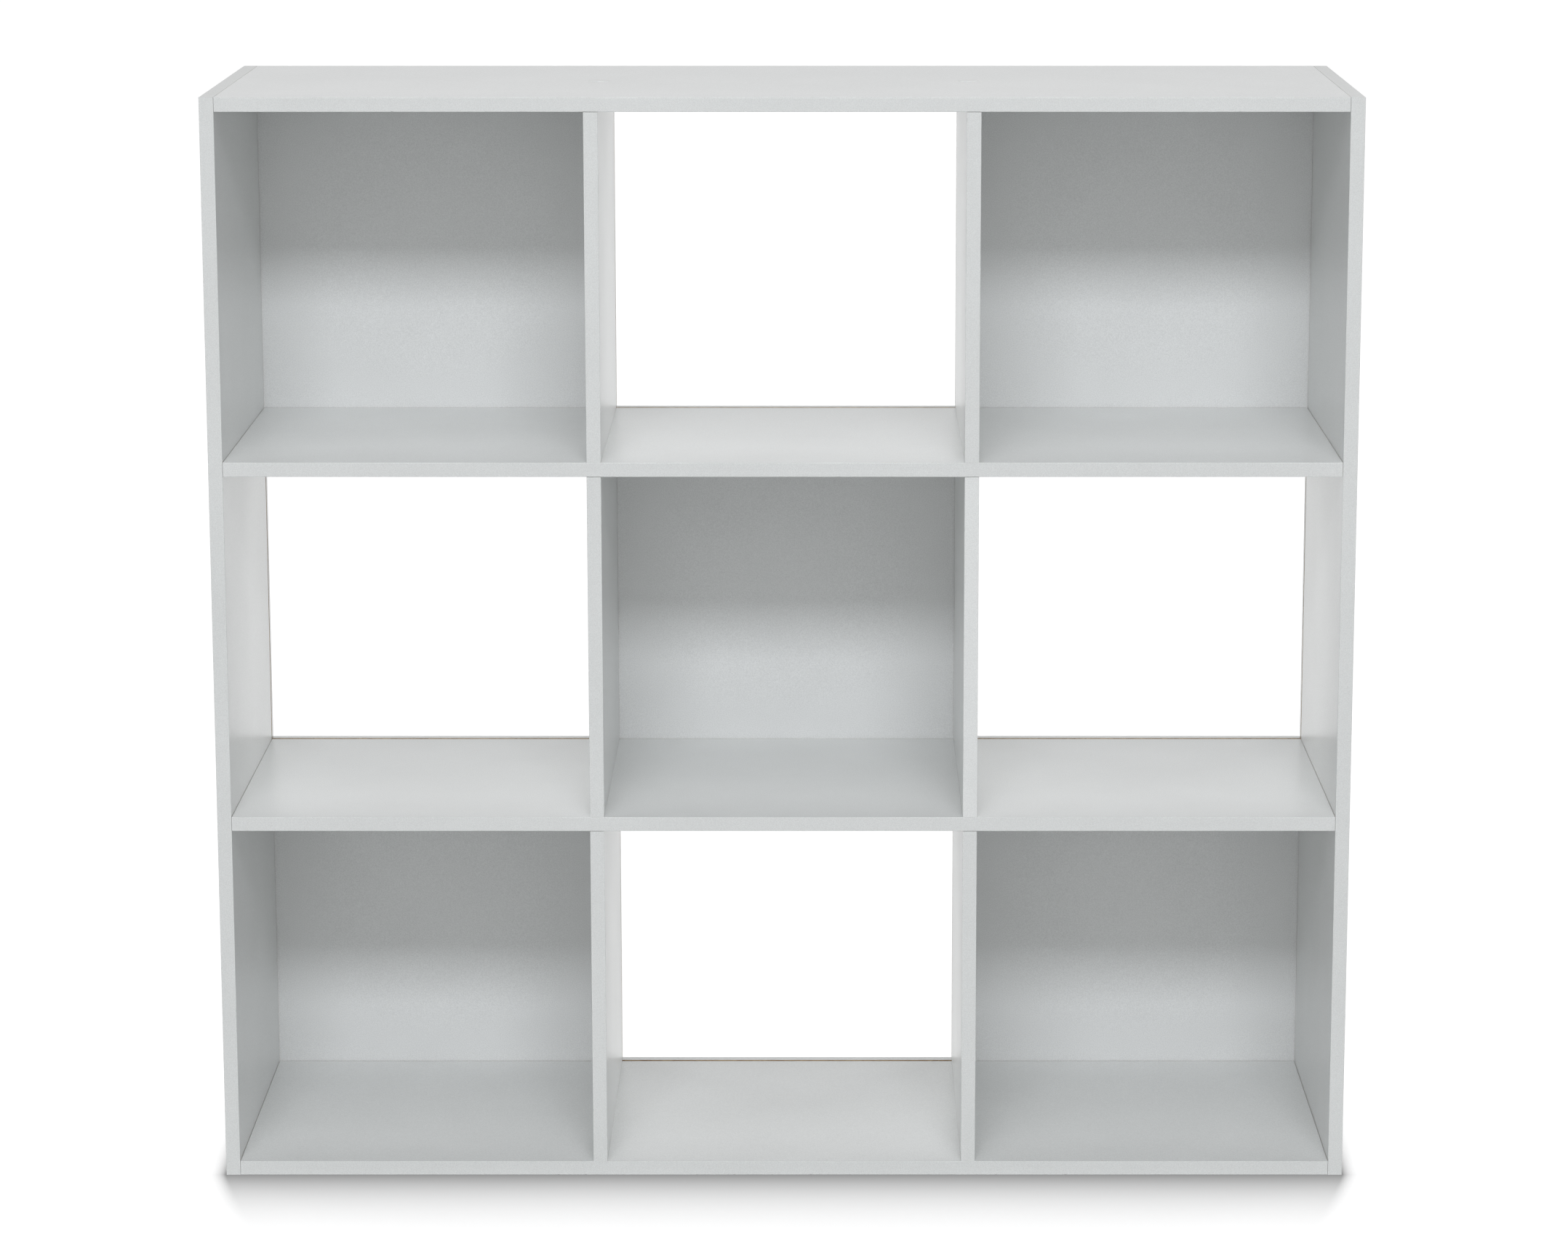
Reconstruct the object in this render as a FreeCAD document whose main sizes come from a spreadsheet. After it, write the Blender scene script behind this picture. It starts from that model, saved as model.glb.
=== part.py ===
"""Cube storage unit: nine bays in three rows, five of them closed by a thin back panel.

Boards butt together and are held by hidden dowels and countersunk screws. Millimetres, +Z up,
front facing -Y, origin on the floor at the middle of the footprint.

Every board has its own local frame: X along its length, Y from the front of the unit to the
rear, Z through its thickness. A level board's frame is parallel to the unit's. An upright
board's frame is turned so that its X points up and its Z points to the unit's -X.
"""

import FreeCAD
import Part
import Sketcher
import os

BAYS = 3  # bays along each row and in each column
ROWS = ("bottom", "middle", "top")
LEVEL_BOARDS = ("bottom_panel", "lower_shelf", "upper_shelf", "top_panel")
HANDS = ("left", "right")
BACKS = {  # name of each back panel: its column from the left and its row from the bottom
    "back_panel_bottom_left": (0, 0),
    "back_panel_bottom_right": (2, 0),
    "back_panel_centre": (1, 1),
    "back_panel_top_left": (0, 2),
    "back_panel_top_right": (2, 2),
}

SIZES = {
    "bay_width": 300,  # clear width of one bay
    "bay_height": 289,  # clear height of one bay
    "unit_depth": 295,  # front of the edge bands to the rear edges
    "board": 12,  # thickness of every carcass board
    "band": 1,  # thickness of the edge bands
    "arris": 0.4,  # rounding along an edge band
    "joint_gap": 0.4,  # gap left where a board's end meets another board
    "back_board": 3,  # thickness of a back panel
    "back_clearance": 0.3,  # room round a back panel in its grooves
    "groove_depth": 4,
    "rear_lip": 8.5,  # wood left behind each groove
    "dowel_radius": 3,
    "dowel_chamfer": 0.6,
    "dowel_in_face": 8.5,  # how far a dowel enters a board's face
    "dowel_in_end": 18,  # how far a dowel enters a board's end
    "dowel_setback": 60,  # front or rear edge to a dowel under a divider
    "screw_radius": 2,
    "screw_length": 40,
    "screw_tip": 5,  # length of the screw's point
    "screw_setback": 45,  # front or rear edge to a screw in a side panel
    "head_radius": 4,
    "head_angle": 90,  # of the countersunk head
    "head_sink": 0.2,  # how far the head lies below the board's face
    "recess_length": 4,  # of the cross recess in the head
    "recess_width": 1,
    "recess_depth": 1.6,
    "hole_clearance": 0.1,  # round dowels and screws, and past their ends
    "cap_radius": 9,
    "cap_height": 0.6,
    "cap_rounding": 0.3,
}

PITCH_X = "(sizes.bay_width + sizes.board)"
PITCH_Z = "(sizes.bay_height + sizes.board)"
WIDTH = f"({BAYS} * sizes.bay_width + {BAYS + 1} * sizes.board)"
HEIGHT = f"({BAYS} * sizes.bay_height + {BAYS + 1} * sizes.board)"
LEVEL_LENGTH = f"({WIDTH} - 2 * sizes.board - 2 * sizes.joint_gap)"
SIDE_LENGTH = f"({HEIGHT} - sizes.band)"
DIVIDER_LENGTH = "(sizes.bay_height - sizes.joint_gap)"
FRONT = "(-sizes.unit_depth / 2)"
MIDDLE = "(sizes.unit_depth / 2)"
HALF_BOARD = "(sizes.board / 2)"

GROOVE_FAR = "(sizes.unit_depth - sizes.rear_lip)"
GROOVE_NEAR = f"({GROOVE_FAR} - sizes.back_board - 2 * sizes.back_clearance)"
TONGUE = "(sizes.groove_depth - sizes.back_clearance)"

SCREW_ROWS = ("sizes.screw_setback", "(sizes.unit_depth - sizes.screw_setback)")
DOWEL_ROWS = ("sizes.dowel_setback", "(sizes.unit_depth - sizes.dowel_setback)")
DOWEL_HOLE = "(sizes.dowel_radius + sizes.hole_clearance)"
SCREW_HOLE = "(sizes.screw_radius + sizes.hole_clearance)"
DOWEL_FACE_DEPTH = "(sizes.dowel_in_face + sizes.hole_clearance)"
DOWEL_END_DEPTH = "(sizes.dowel_in_end + sizes.hole_clearance)"
SCREW_END_DEPTH = "(sizes.screw_length + sizes.head_sink - sizes.board + sizes.hole_clearance)"
HEAD_SLOPE = "tan(sizes.head_angle / 2 * 1deg)"

LEVEL = FreeCAD.Rotation()
UPRIGHT = FreeCAD.Rotation(FreeCAD.Vector(0, 1, 0), -90)
POINT_UP = FreeCAD.Rotation()
POINT_DOWN = FreeCAD.Rotation(FreeCAD.Vector(1, 0, 0), 180)
POINT_LEFT = FreeCAD.Rotation(FreeCAD.Vector(0, 1, 0), -90)
POINT_RIGHT = FreeCAD.Rotation(FreeCAD.Vector(0, 1, 0), 90)

doc = FreeCAD.newDocument("cube_storage_unit")
nodes = []


def make_sheet():
    """The spreadsheet of driving dimensions: names in column A, aliased numbers in column B."""
    sheet = doc.addObject("Spreadsheet::Sheet", "sizes")
    for line, (alias, number) in enumerate(SIZES.items(), start=1):
        sheet.set(f"A{line}", alias)
        sheet.set(f"B{line}", str(number))
        sheet.setAlias(f"B{line}", alias)
    doc.recompute()


def divider_x(number):
    """Middle of a divider's thickness, measured from the middle of the unit."""
    return f"({number} * {PITCH_X} + {HALF_BOARD} - {WIDTH} / 2)"


def level_z(number):
    """Underside of a level board above the floor."""
    return f"({number} * {PITCH_Z})"


def bind(obj, **expressions):
    """Binds properties, with dots in their names written as double underscores."""
    for name, expression in expressions.items():
        obj.setExpression(name.replace("__", "."), expression)


def place(obj, rotation, x, y, z):
    obj.Placement = FreeCAD.Placement(FreeCAD.Vector(), rotation)
    bind(obj, Placement__Base__x=x, Placement__Base__y=y, Placement__Base__z=z)


def new_body(name, rotation, x, z):
    """A body whose local frame starts at the front of the unit."""
    body = doc.addObject("PartDesign::Body", name)
    body.Label = name
    place(body, rotation, x, FRONT, z)
    nodes.append(body)
    return body


def new_sketch(body, name, role, offset=None):
    """A sketch on one of the body's own origin planes, or parallel to it at an offset."""
    sketch = body.newObject("Sketcher::SketchObject", f"{body.Name}_{name}_sketch")
    plane = next(item for item in body.Origin.OriginFeatures if item.Role == role)
    sketch.AttachmentSupport = [(plane, "")]
    sketch.MapMode = "FlatFace"
    if offset:
        bind(sketch, AttachmentOffset__Base__z=offset)
    return sketch


def dimension(sketch, name, expression, *constraint):
    index = sketch.addConstraint(Sketcher.Constraint(*constraint, 1.0))
    sketch.renameConstraint(index, name)
    sketch.setExpression(f"Constraints.{name}", expression)


def draw_rectangle(sketch, length, near, far):
    """A rectangle from the sketch's vertical axis to length, between near and far. A near of
    None lies on the horizontal axis."""
    corners = [FreeCAD.Vector(*xy, 0) for xy in ((0, 1), (100, 1), (100, 50), (0, 50))]
    for index, corner in enumerate(corners):
        sketch.addGeometry(Part.LineSegment(corner, corners[(index + 1) % 4]), False)
    for index in range(4):
        sketch.addConstraint(Sketcher.Constraint("Coincident", index, 2, (index + 1) % 4, 1))
    for index, way in enumerate(("Horizontal", "Vertical", "Horizontal", "Vertical")):
        sketch.addConstraint(Sketcher.Constraint(way, index))
    sketch.addConstraint(Sketcher.Constraint("PointOnObject", 0, 1, -2))
    dimension(sketch, "length", length, "DistanceX", 0, 1, 0, 2)
    if near is None:
        sketch.addConstraint(Sketcher.Constraint("PointOnObject", 0, 1, -1))
    else:
        dimension(sketch, "near", near, "DistanceY", -1, 1, 0, 1)
    dimension(sketch, "far", far, "DistanceY", -1, 1, 2, 2)


def draw_circles(sketch, centres, radius):
    """Equal circles at the given pairs of expressions."""
    for index, (x, y) in enumerate(centres):
        start = FreeCAD.Vector(20 + 10 * index, 20, 0)
        circle = sketch.addGeometry(Part.Circle(start, FreeCAD.Vector(0, 0, 1), 2), False)
        dimension(sketch, f"across_{index}", x, "DistanceX", -1, 1, circle, 3)
        dimension(sketch, f"along_{index}", y, "DistanceY", -1, 1, circle, 3)
        dimension(sketch, f"radius_{index}", radius, "Radius", circle)


def cut(body, kind, sketch, reverse, settings, bound):
    """A Pocket or Hole from the sketch. It has to take wood away."""
    doc.recompute()
    before = body.Shape.Volume
    feature = body.newObject(f"PartDesign::{kind}", f"{sketch.Name}_cut")
    feature.Profile = sketch
    feature.Reversed = reverse
    for name, value in settings.items():
        setattr(feature, name, value)
    bind(feature, **bound)
    doc.recompute()
    if not body.Shape.Volume < before - 1e-6:
        raise RuntimeError(f"{feature.Name} cuts nothing")


def cut_groove(body, face, length):
    """The groove for the back panels, along the whole of a board's near or far face."""
    far_face = face == "far"
    sketch = new_sketch(body, f"{face}_groove", "XY_Plane", "sizes.board" if far_face else None)
    draw_rectangle(sketch, length, GROOVE_NEAR, GROOVE_FAR)
    cut(body, "Pocket", sketch, not far_face, {}, {"Length": "sizes.groove_depth"})


def drill_face(body, face, centres, radius, depth, name):
    """Blind holes, or holes through the board where the depth is None."""
    far_face = face == "far"
    sketch = new_sketch(body, name, "XY_Plane", "sizes.board" if far_face else None)
    draw_circles(sketch, centres, radius)
    cut(body, "Pocket", sketch, not far_face, {}, {"Length": depth or "sizes.board"})


def drill_end(body, length, rows, radius, depth, name):
    """Holes into the near end of a board, or into its far end where a length is given."""
    sketch = new_sketch(body, name, "YZ_Plane", length)
    draw_circles(sketch, [(row, HALF_BOARD) for row in rows], radius)
    cut(body, "Pocket", sketch, length is None, {}, {"Length": depth})


def sink_screws(body, face, centres):
    """Countersunk holes through the board, with the countersinks in its near or far face."""
    far_face = face == "far"
    sketch = new_sketch(body, "screws", "XY_Plane", "sizes.board" if far_face else None)
    draw_circles(sketch, centres, SCREW_HOLE)
    settings = {"ThreadType": 0, "DepthType": "ThroughAll", "HoleCutType": "Countersink"}
    bound = {
        "Diameter": f"2 * {SCREW_HOLE}",
        "HoleCutDiameter": (
            f"2 * (sizes.head_radius + sizes.head_sink * {HEAD_SLOPE} + sizes.hole_clearance)"
        ),
        "HoleCutCountersinkAngle": "sizes.head_angle",
    }
    cut(body, "Hole", sketch, not far_face, settings, bound)


def pad_board(body, length, near, far):
    """The plain board, or a strip of one, lying along the body's own X."""
    sketch = new_sketch(body, "outline", "XY_Plane")
    draw_rectangle(sketch, length, near, far)
    pad = body.newObject("PartDesign::Pad", f"{body.Name}_pad")
    pad.Profile = sketch
    bind(pad, Length="sizes.board")
    doc.recompute()
    return pad


def edge_band(name, rotation, x, z, length, on_end=False):
    """A strip of banding with its two long outer edges rounded. It covers a board's front, or
    its top end where on_end is set."""
    body = new_body(name, rotation, x, z)
    near, far = ("sizes.band", "sizes.unit_depth") if on_end else (None, "sizes.band")
    pad = pad_board(body, "sizes.band" if on_end else length, near, far)
    shape = pad.Shape.copy()
    shape.Placement = FreeCAD.Placement()
    outer = SIZES["band"] if on_end else 0

    def is_outer(edge):
        level = all(abs((v.X if on_end else v.Y) - outer) < 1e-6 for v in edge.Vertexes)
        return level and abs(edge.Vertexes[0].Z - edge.Vertexes[1].Z) < 1e-6

    edges = [f"Edge{i}" for i, edge in enumerate(shape.Edges, start=1) if is_outer(edge)]
    fillet = body.newObject("PartDesign::Fillet", f"{name}_arris")
    fillet.Base = (pad, edges)
    bind(fillet, Radius="sizes.arris")


def side_panel(hand):
    """A full-height board that carries the ends of all four level boards."""
    inner, outer = ("near", "far") if hand == "left" else ("far", "near")
    right_face = f"(-{WIDTH} / 2 + sizes.board)" if hand == "left" else f"({WIDTH} / 2)"
    name = f"side_panel_{hand}"
    body = new_body(name, UPRIGHT, right_face, "0")
    pad_board(body, SIDE_LENGTH, "sizes.band", "sizes.unit_depth")
    cut_groove(body, inner, SIDE_LENGTH)
    heights = [f"({level_z(i)} + {HALF_BOARD})" for i in range(len(LEVEL_BOARDS))]
    dowels = [(height, MIDDLE) for height in heights]
    drill_face(body, inner, dowels, DOWEL_HOLE, DOWEL_FACE_DEPTH, "dowels")
    sink_screws(body, outer, [(height, row) for height in heights for row in SCREW_ROWS])
    edge_band(f"front_band_side_{hand}", UPRIGHT, right_face, "0", HEIGHT)
    edge_band(f"top_band_side_{hand}", UPRIGHT, right_face, SIDE_LENGTH, None, on_end=True)


def level_board(number):
    """A board between the side panels: the bottom, a shelf or the top."""
    name = LEVEL_BOARDS[number]
    start = f"(-{LEVEL_LENGTH} / 2)"
    body = new_body(name, LEVEL, start, level_z(number))
    pad_board(body, LEVEL_LENGTH, "sizes.band", "sizes.unit_depth")
    has_bay_below, has_bay_above = number > 0, number < BAYS
    if has_bay_below:
        cut_groove(body, "near", LEVEL_LENGTH)
    if has_bay_above:
        cut_groove(body, "far", LEVEL_LENGTH)
    drill_end(body, None, SCREW_ROWS, SCREW_HOLE, SCREW_END_DEPTH, "near_end_screws")
    drill_end(body, LEVEL_LENGTH, SCREW_ROWS, SCREW_HOLE, SCREW_END_DEPTH, "far_end_screws")
    drill_end(body, None, [MIDDLE], DOWEL_HOLE, DOWEL_END_DEPTH, "near_end_dowel")
    drill_end(body, LEVEL_LENGTH, [MIDDLE], DOWEL_HOLE, DOWEL_END_DEPTH, "far_end_dowel")
    across = [f"({divider_x(j)} - {start})" for j in range(1, BAYS)]
    dowels = [(x, row) for x in across for row in DOWEL_ROWS]
    is_shelf = has_bay_below and has_bay_above
    face = "far" if has_bay_above else "near"
    drill_face(body, face, dowels, DOWEL_HOLE, None if is_shelf else DOWEL_FACE_DEPTH, "dowels")
    sink_screws(body, "far" if has_bay_below else "near", [(x, MIDDLE) for x in across])
    edge_band(f"front_band_{name}", LEVEL, start, level_z(number), LEVEL_LENGTH)


def divider(row, number):
    """A short upright between two level boards. It stands on the lower one."""
    name = f"{ROWS[row]}_divider_{HANDS[number - 1]}"
    right_face = f"({divider_x(number)} + {HALF_BOARD})"
    foot = f"({level_z(row)} + sizes.board)"
    body = new_body(name, UPRIGHT, right_face, foot)
    pad_board(body, DIVIDER_LENGTH, "sizes.band", "sizes.unit_depth")
    cut_groove(body, "near", DIVIDER_LENGTH)
    cut_groove(body, "far", DIVIDER_LENGTH)
    drill_end(body, None, DOWEL_ROWS, DOWEL_HOLE, DOWEL_END_DEPTH, "foot_dowels")
    drill_end(body, DIVIDER_LENGTH, DOWEL_ROWS, DOWEL_HOLE, DOWEL_END_DEPTH, "head_dowels")
    drill_end(body, DIVIDER_LENGTH, [MIDDLE], SCREW_HOLE, SCREW_END_DEPTH, "head_screw")
    if row == 0:
        drill_end(body, None, [MIDDLE], SCREW_HOLE, SCREW_END_DEPTH, "foot_screw")
    edge_band(f"front_band_{name}", UPRIGHT, right_face, foot, DIVIDER_LENGTH)


def back_panel(name, column, row):
    """A thin sheet that stands in the grooves all round its bay."""
    panel = doc.addObject("Part::Box", name)
    panel.Label = name
    bind(panel, Length=f"sizes.bay_width + 2 * {TONGUE}", Width="sizes.back_board")
    bind(panel, Height=f"sizes.bay_height + 2 * {TONGUE}")
    x = f"{column} * {PITCH_X} + sizes.board - {TONGUE} - {WIDTH} / 2"
    y = f"{FRONT} + {GROOVE_NEAR} + sizes.back_clearance"
    place(panel, LEVEL, x, y, f"{level_z(row)} + sizes.board - {TONGUE}")
    nodes.append(panel)


def make_dowel(name, length):
    """A round wooden dowel with bevelled ends, standing on the middle of its lower end."""
    rod = doc.addObject("Part::Cylinder", f"{name}_rod")
    bind(rod, Radius="sizes.dowel_radius", Height=length)
    doc.recompute()
    bevel = SIZES["dowel_chamfer"]
    dowel = doc.addObject("Part::Chamfer", name)
    dowel.Base = rod
    circles = [i for i, edge in enumerate(rod.Shape.Edges, start=1) if edge.Closed]
    dowel.Edges = [(i, bevel, bevel) for i in circles]
    return dowel


def make_screw():
    """A countersunk screw with a cross recess. Its head's face is at the origin and it points
    along -Z."""
    head = doc.addObject("Part::Cone", "screw_head")
    taper = f"(sizes.head_radius - sizes.screw_radius) / {HEAD_SLOPE}"
    bind(head, Radius1="sizes.screw_radius", Radius2="sizes.head_radius", Height=taper)
    bind(head, Placement__Base__z=f"-({taper})")
    shank = doc.addObject("Part::Cylinder", "screw_shank")
    bind(shank, Radius="sizes.screw_radius", Height="sizes.screw_length - sizes.screw_tip")
    bind(shank, Placement__Base__z="-(sizes.screw_length - sizes.screw_tip)")
    tip = doc.addObject("Part::Cone", "screw_tip")
    bind(tip, Radius2="sizes.screw_radius", Height="sizes.screw_tip")
    bind(tip, Placement__Base__z="-sizes.screw_length")
    tip.Radius1 = 0
    solid = doc.addObject("Part::MultiFuse", "screw_blank")
    solid.Shapes = [head, shank, tip]
    slots = []
    for letter, (length, width) in {"x": ("length", "width"), "y": ("width", "length")}.items():
        slot = doc.addObject("Part::Box", f"recess_{letter}")
        bind(slot, Length=f"sizes.recess_{length}", Width=f"sizes.recess_{width}")
        bind(slot, Height="sizes.recess_depth", Placement__Base__z="-sizes.recess_depth")
        bind(slot, Placement__Base__x=f"-sizes.recess_{length} / 2")
        bind(slot, Placement__Base__y=f"-sizes.recess_{width} / 2")
        slots.append(slot)
    cross = doc.addObject("Part::MultiFuse", "recess")
    cross.Shapes = slots
    screw = doc.addObject("Part::Cut", "screw")
    screw.Base = solid
    screw.Tool = cross
    return screw


def make_cap():
    """A flat round cover cap with a softened rim, which lies on a board over a screw."""
    disc = doc.addObject("Part::Cylinder", "cap_disc")
    bind(disc, Radius="sizes.cap_radius", Height="sizes.cap_height")
    doc.recompute()
    cap = doc.addObject("Part::Fillet", "cap")
    cap.Base = disc
    rounding = SIZES["cap_rounding"]
    rims = [
        (i, rounding, rounding)
        for i, edge in enumerate(disc.Shape.Edges, start=1)
        if edge.Closed and edge.CenterOfMass.z > 0
    ]
    cap.Edges = rims
    return cap


def group(name, prototype, rotation, places):
    """Equal loose pieces in one node: links to the prototype, one at each place."""
    links = []
    for index, (x, y, z) in enumerate(places):
        link = doc.addObject("App::Link", f"{name}_{index}")
        link.LinkedObject = prototype
        link.LinkTransform = False
        place(link, rotation, x, y, z)
        links.append(link)
    compound = doc.addObject("Part::Compound", name)
    compound.Label = name
    compound.Links = links
    nodes.append(compound)


def side_fixings(hand, dowel, screw, cap):
    """What joins a side panel to the level boards: a dowel and two screws in each. Cover caps
    lie over the shelves' screws. At the top and bottom they would overhang the panel's ends."""
    sign, into = (-1, POINT_RIGHT) if hand == "left" else (1, POINT_LEFT)
    outwards = POINT_LEFT if hand == "left" else POINT_RIGHT
    heights = [f"{level_z(i)} + {HALF_BOARD}" for i in range(len(LEVEL_BOARDS))]
    face = f"{sign} * {WIDTH} / 2"
    buried = f"{sign} * ({WIDTH} / 2 - sizes.board + sizes.dowel_in_face)"
    sunk = f"{sign} * ({WIDTH} / 2 - sizes.head_sink)"
    group(f"side_dowels_{hand}", dowel, into, [(buried, "0", z) for z in heights])
    rows = [f"{FRONT} + {row}" for row in SCREW_ROWS]
    group(f"side_screws_{hand}", screw, outwards, [(sunk, y, z) for z in heights for y in rows])
    group(f"side_caps_{hand}", cap, outwards, [(face, y, z) for z in heights[1:-1] for y in rows])


def divider_fixings(number, short_dowel, long_dowel, screw):
    """What joins one level board to the dividers under and over it."""
    name = LEVEL_BOARDS[number]
    across = [divider_x(j) for j in range(1, BAYS)]
    spots = [(x, f"{FRONT} + {row}") for x in across for row in DOWEL_ROWS]
    under, over = level_z(number), f"{level_z(number)} + sizes.board"
    has_bay_below, has_bay_above = number > 0, number < BAYS
    if not has_bay_below:
        start, dowel = f"{over} - sizes.dowel_in_face", short_dowel
    else:
        start = f"{under} - sizes.joint_gap - sizes.dowel_in_end"
        dowel = long_dowel if has_bay_above else short_dowel
    group(f"{name}_dowels", dowel, POINT_UP, [(x, y, start) for x, y in spots])
    if has_bay_below:
        head, way = f"{over} - sizes.head_sink", POINT_UP
    else:
        head, way = "sizes.head_sink", POINT_DOWN
    group(f"{name}_screws", screw, way, [(x, "0", head) for x in across])


def check_and_write():
    """Refuses failed objects and broken shapes, then writes one file for each node."""
    doc.recompute()
    for obj in doc.Objects:
        if "Invalid" in obj.State or "Error" in obj.State:
            raise RuntimeError(f"{obj.Name} failed: {obj.State}")
    for node in nodes:
        if node.Shape.isNull() or not node.Shape.isValid() or not node.Shape.Solids:
            raise RuntimeError(f"{node.Label} has no valid shape")
    for node in nodes:
        node.Shape.exportStep(f"parts/{node.Label}.step")
    print(len(nodes), "nodes,", sum(len(node.Shape.Solids) for node in nodes), "solids")


os.makedirs("parts", exist_ok=True)
make_sheet()
for hand in HANDS:
    side_panel(hand)
for number in range(BAYS + 1):
    level_board(number)
for row in range(BAYS):
    for number in range(1, BAYS):
        divider(row, number)
for name, (column, row) in BACKS.items():
    back_panel(name, column, row)

side_dowel = make_dowel(
    "side_dowel", "sizes.dowel_in_face + sizes.joint_gap + sizes.dowel_in_end"
)
end_dowel = make_dowel("end_dowel", "sizes.dowel_in_face + sizes.dowel_in_end")
through_dowel = make_dowel(
    "through_dowel", "sizes.board + sizes.joint_gap + 2 * sizes.dowel_in_end"
)
screw = make_screw()
cap = make_cap()
for hand in HANDS:
    side_fixings(hand, side_dowel, screw, cap)
for number in range(BAYS + 1):
    divider_fixings(number, end_dowel, through_dowel, screw)
face_caps = [(divider_x(j), "0", HEIGHT) for j in range(1, BAYS)]
group("top_caps", cap, POINT_UP, face_caps)
check_and_write()
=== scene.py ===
"""Cube storage unit: the finish of every board, band, back, cap and fixing, with floor, lights and
camera. Metres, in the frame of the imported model: +Z up, the open front facing -Y, floor at zero."""
import math
import random

import bmesh
import bpy
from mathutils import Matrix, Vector


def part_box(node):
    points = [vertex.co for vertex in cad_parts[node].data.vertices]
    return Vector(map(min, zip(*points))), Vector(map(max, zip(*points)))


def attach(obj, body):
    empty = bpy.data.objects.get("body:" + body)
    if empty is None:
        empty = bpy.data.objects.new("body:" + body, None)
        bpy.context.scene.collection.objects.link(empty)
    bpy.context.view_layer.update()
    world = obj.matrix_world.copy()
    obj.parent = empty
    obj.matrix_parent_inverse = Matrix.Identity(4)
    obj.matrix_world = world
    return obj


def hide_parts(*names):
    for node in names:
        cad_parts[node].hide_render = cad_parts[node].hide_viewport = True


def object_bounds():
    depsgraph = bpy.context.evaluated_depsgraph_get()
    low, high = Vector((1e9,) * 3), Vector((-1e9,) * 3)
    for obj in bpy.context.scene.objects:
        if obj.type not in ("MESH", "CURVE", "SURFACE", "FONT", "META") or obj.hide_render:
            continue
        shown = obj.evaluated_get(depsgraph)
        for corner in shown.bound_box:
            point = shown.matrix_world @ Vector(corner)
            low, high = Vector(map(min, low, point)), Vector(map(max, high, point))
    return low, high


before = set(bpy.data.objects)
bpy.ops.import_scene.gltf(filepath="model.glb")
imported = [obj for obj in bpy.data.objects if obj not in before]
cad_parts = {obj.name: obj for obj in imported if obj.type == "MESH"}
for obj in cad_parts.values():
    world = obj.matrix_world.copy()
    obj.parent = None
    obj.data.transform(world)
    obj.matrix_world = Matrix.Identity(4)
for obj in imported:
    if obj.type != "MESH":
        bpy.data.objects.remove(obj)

MM = 0.001
NEAR = 0.01 * MM  # what counts as the same place
X, Y, Z = range(3)
cad_low, cad_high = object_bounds()
middle = (cad_low + cad_high) / 2

# --- finishes ---------------------------------------------------------------------------------

# Linear colours.
WHITE_FOIL = (0.800, 0.811, 0.804)
WHITE_BAND = (0.708, 0.720, 0.710)
BAND_PAINTED_LIGHTER = (0.765, 0.777, 0.767)  # of the middle divider on the right, painted lighter for the extra light that band catches
BACK_FOIL = (0.797, 0.806, 0.803)
CAP_PLASTIC = (0.800, 0.808, 0.800)
CHIP_DARK = (0.30, 0.200, 0.115)
CHIP_LIGHT = (0.64, 0.505, 0.335)
FIBRE_DARK = (0.28, 0.185, 0.108)
FIBRE_LIGHT = (0.47, 0.340, 0.215)
BEECH_DARK = (0.47, 0.30, 0.16)
BEECH_LIGHT = (0.66, 0.46, 0.27)
ZINC = (0.62, 0.61, 0.57)


def add_node(tree, kind, inputs=(), **settings):
    """A node with its settings. Each input is given a value, or a socket to link from."""
    made = tree.nodes.new(f"ShaderNode{kind}")
    for name, value in settings.items():
        setattr(made, name, value)
    for name, value in dict(inputs).items():
        if isinstance(value, bpy.types.NodeSocket):
            tree.links.new(value, made.inputs[name])
        else:
            made.inputs[name].default_value = value
    return made


def compute(tree, operation, first, second):
    """The result of one sum on two values."""
    return add_node(tree, "Math", {0: first, 1: second}, operation=operation).outputs["Value"]


def spread(tree, value, low, high, to_low=0.0, to_high=1.0):
    """The value moved from the range low..high to another, and kept within it."""
    ranges = {"Value": value, "From Min": low, "From Max": high, "To Min": to_low,
              "To Max": to_high}
    return add_node(tree, "MapRange", ranges).outputs["Result"]


def start_group(name, inputs, outputs):
    """A shader node group, with the names and defaults of its inputs and the names of its
    outputs. Returns it with the sockets inside and the place on the piece, in metres."""
    group = bpy.data.node_groups.new(name, "ShaderNodeTree")
    for label, default in inputs.items():
        socket = group.interface.new_socket(label, in_out="INPUT", socket_type="NodeSocketFloat")
        socket.default_value = default
    for label in outputs:
        group.interface.new_socket(label, in_out="OUTPUT", socket_type="NodeSocketFloat")
    entry = group.nodes.new("NodeGroupInput")
    leave = group.nodes.new("NodeGroupOutput")
    place = add_node(group, "TexCoord").outputs["Object"]
    return group, entry.outputs, leave.inputs, place


def build_foil_grain():
    """The pebbled print of melamine foil. Shade also holds a broad, faint cloudiness."""
    group, given, result, place = start_group(
        "foil grain", {"Pebbles per metre": 1300.0, "Cloudiness": 0.15}, ["Shade", "Height"])
    pebbles = add_node(group, "TexNoise", {
        "Vector": place, "Scale": given["Pebbles per metre"], "Detail": 3.0, "Roughness": 0.62})
    clouds = add_node(group, "TexNoise", {"Vector": place, "Scale": 11.0, "Detail": 5.0})
    both = add_node(group, "Mix", {
        "Factor": given["Cloudiness"], "A": pebbles.outputs["Fac"], "B": clouds.outputs["Fac"]})
    group.links.new(spread(group, both.outputs["Result"], 0.34, 0.66), result["Shade"])
    group.links.new(pebbles.outputs["Fac"], result["Height"])
    return group


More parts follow.
